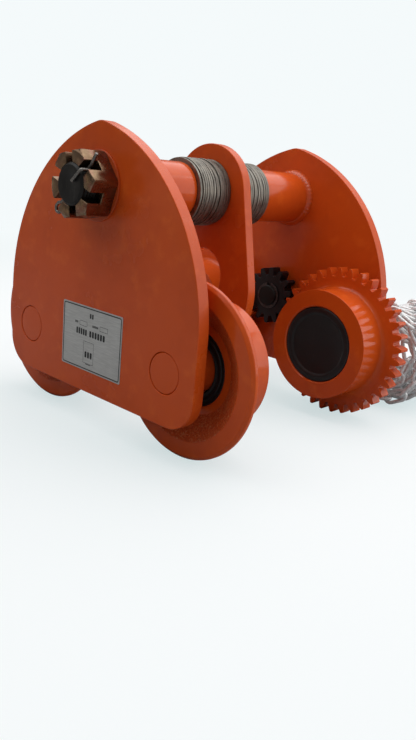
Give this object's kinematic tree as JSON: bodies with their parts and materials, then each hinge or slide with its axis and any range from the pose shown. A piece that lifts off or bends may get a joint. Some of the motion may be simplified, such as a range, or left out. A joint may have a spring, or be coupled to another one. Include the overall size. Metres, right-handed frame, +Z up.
{
  "type": "hand geared beam trolley",
  "caption": "Hand-geared beam trolley: two side plates on a load shaft, four flanged wheels, pinion drive with hand-chain wheel, shims and a central hanger plate.",
  "frame": {"origin": "middle of the footprint of the whole trolley, on the plane that its wheels stand on", "axes": "+X along the beam, +Y along the load shaft from the plain side plate to the geared one, +Z up with the trolley standing upside down on its wheels"},
  "size_m": [0.3592, 0.463, 0.2782],
  "materials": {
    "orange_paint": "glossy orange enamel over rolled and cast steel",
    "yellow_zinc": "yellow-passivated zinc on a machined nut",
    "pin_steel": "drawn mild-steel wire",
    "grey_zinc": "dull galvanised punched washers",
    "bright_zinc": "bright zinc-plated chain",
    "black_cap": "satin black pressed cap",
    "black_rubber": "black lip seal",
    "black_steel": "black-oxide gear steel, oiled",
    "dark_shaft": "black-oxide turned steel",
    "bearing_steel": "ground bearing steel",
    "spring_steel": "phosphated spring steel",
    "bronze": "sintered bronze",
    "name_plate": "silver printed foil"
  },
  "bodies": {
    "frame": {"axle_circlips": "spring_steel", "axle_spacers": "orange_paint", "bearing_inner_rings": "bearing_steel", "castle_nut_geared": "yellow_zinc", "castle_nut_plain": "yellow_zinc", "hand_chain": "bright_zinc", "load_shaft": "dark_shaft", "name_plate": "name_plate", "nut_washers": "orange_paint", "pinion_bushes": "bronze", "pinion_housing": "orange_paint", "shim_washers_geared": "grey_zinc", "shim_washers_plain": "grey_zinc", "side_plate_geared": "orange_paint", "side_plate_plain": "orange_paint", "spacer_tube_geared": "orange_paint", "spacer_tube_plain": "orange_paint", "split_pin_geared": "pin_steel", "split_pin_plain": "pin_steel", "thrust_washer": "spring_steel", "tube_weld_beads": "orange_paint", "wheel_axle_geared_left": "orange_paint", "wheel_axle_geared_right": "orange_paint", "wheel_axle_plain_left": "orange_paint", "wheel_axle_plain_right": "orange_paint"},
    "plain_wheel_left": {"wheel_plain_left": "orange_paint", "bearing_outer_ring_plain_left": "bearing_steel", "bearing_balls_plain_left": "bearing_steel", "hub_seal_plain_left": "black_rubber", "bore_circlip_plain_left": "spring_steel", "dust_cap_plain_left": "black_cap"},
    "plain_wheel_right": {"wheel_plain_right": "orange_paint", "bearing_outer_ring_plain_right": "bearing_steel", "bearing_balls_plain_right": "bearing_steel", "hub_seal_plain_right": "black_rubber", "bore_circlip_plain_right": "spring_steel", "dust_cap_plain_right": "black_cap"},
    "geared_wheel_left": {"wheel_geared_left": "orange_paint", "bearing_outer_ring_geared_left": "bearing_steel", "bearing_balls_geared_left": "bearing_steel", "hub_seal_geared_left": "black_rubber", "bore_circlip_geared_left": "spring_steel", "dust_cap_geared_left": "black_cap"},
    "geared_wheel_right": {"wheel_geared_right": "orange_paint", "bearing_outer_ring_geared_right": "bearing_steel", "bearing_balls_geared_right": "bearing_steel", "hub_seal_geared_right": "black_rubber", "bore_circlip_geared_right": "spring_steel", "dust_cap_geared_right": "black_cap"},
    "hanger": {"hanger_plate": "orange_paint", "hanger_bush": "bronze"},
    "drive": {"pinion": "black_steel", "pinion_shaft": "dark_shaft", "drive_keys": "dark_shaft", "drive_circlips": "spring_steel", "hand_wheel_hub": "orange_paint", "hand_wheel_rim": "orange_paint", "hand_wheel_spokes": "orange_paint"}
  },
  "joints": [
    {"name": "plain_wheel_left_spin", "type": "hinge", "parent": "frame", "child": "plain_wheel_left", "pos_m": [-0.1, -0.055, 0.0796], "axis": [0, 1, 0], "continuous": true},
    {"name": "plain_wheel_right_spin", "type": "hinge", "parent": "frame", "child": "plain_wheel_right", "pos_m": [0.1, -0.055, 0.0796], "axis": [0, 1, 0], "continuous": true},
    {"name": "geared_wheel_left_spin", "type": "hinge", "parent": "frame", "child": "geared_wheel_left", "pos_m": [-0.1, -0.055, 0.0796], "axis": [0, 1, 0], "continuous": true},
    {"name": "geared_wheel_right_spin", "type": "hinge", "parent": "frame", "child": "geared_wheel_right", "pos_m": [0.1, -0.055, 0.0796], "axis": [0, 1, 0], "continuous": true},
    {"name": "drive_spin", "type": "hinge", "parent": "frame", "child": "drive", "pos_m": [0, -0.055, 0.11162], "axis": [0, 1, 0], "continuous": true},
    {"name": "hanger_swing", "type": "hinge", "parent": "frame", "child": "hanger", "pos_m": [0, -0.055, 0.2236], "axis": [0, 1, 0], "continuous": true}
  ],
  "couplings": [
    {"joint": "geared_wheel_left_spin", "follows": "geared_wheel_right_spin", "ratio": 1},
    {"joint": "drive_spin", "follows": "geared_wheel_right_spin", "ratio": -2.5714}
  ]
}
